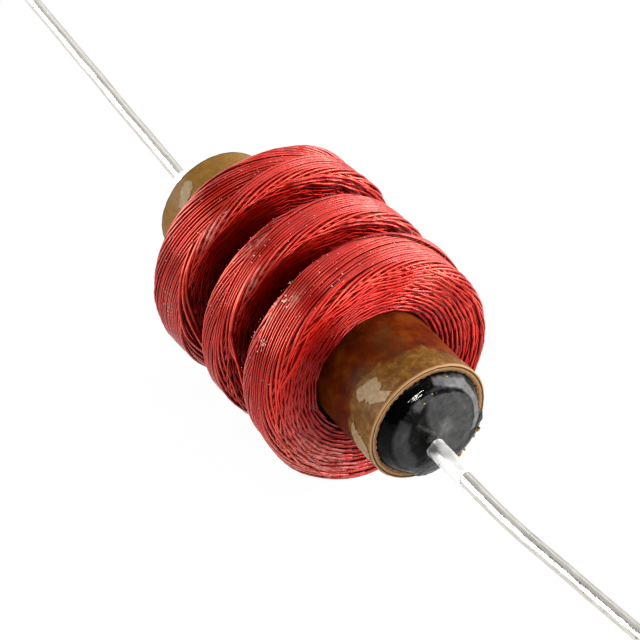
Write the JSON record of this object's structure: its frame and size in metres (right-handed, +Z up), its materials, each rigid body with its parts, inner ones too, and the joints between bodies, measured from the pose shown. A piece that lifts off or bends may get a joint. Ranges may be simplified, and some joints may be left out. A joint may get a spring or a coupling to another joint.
{
  "type": "axial inductor",
  "caption": "Axial radio-frequency choke: cross-wound red wire coils side by side on a brown tube, resin-plugged ends, a straight tinned lead from each end.",
  "frame": {"origin": "on the surface that the coils rest on, under the middle of the tube", "axes": "+X along the tube's axis towards the front lead, +Z up, +Y across"},
  "size_m": [0.0956, 0.0124, 0.0124],
  "materials": {
    "coil_wire": "glossy red enamel under a thin coat of varnish",
    "tube_paper": "brown resin-soaked paper, satin lacquer flaking near the rims",
    "iron_core": "pressed iron powder, matte",
    "black_resin": "glossy black casting resin",
    "tinned_wire": "bright tinned copper",
    "solder": "bright solder"
  },
  "bodies": {
    "root": {"core_tube": "tube_paper", "core_slug": "iron_core", "end_plug_front": "black_resin", "end_plug_rear": "black_resin", "lead_front": "tinned_wire", "lead_rear": "tinned_wire", "lead_joint_front": "solder", "lead_joint_rear": "solder", "winding_front": "coil_wire", "winding_middle": "coil_wire", "winding_rear": "coil_wire", "crossover_front": "coil_wire", "crossover_rear": "coil_wire", "start_wire": "coil_wire", "finish_wire": "coil_wire"}
  },
  "joints": []
}
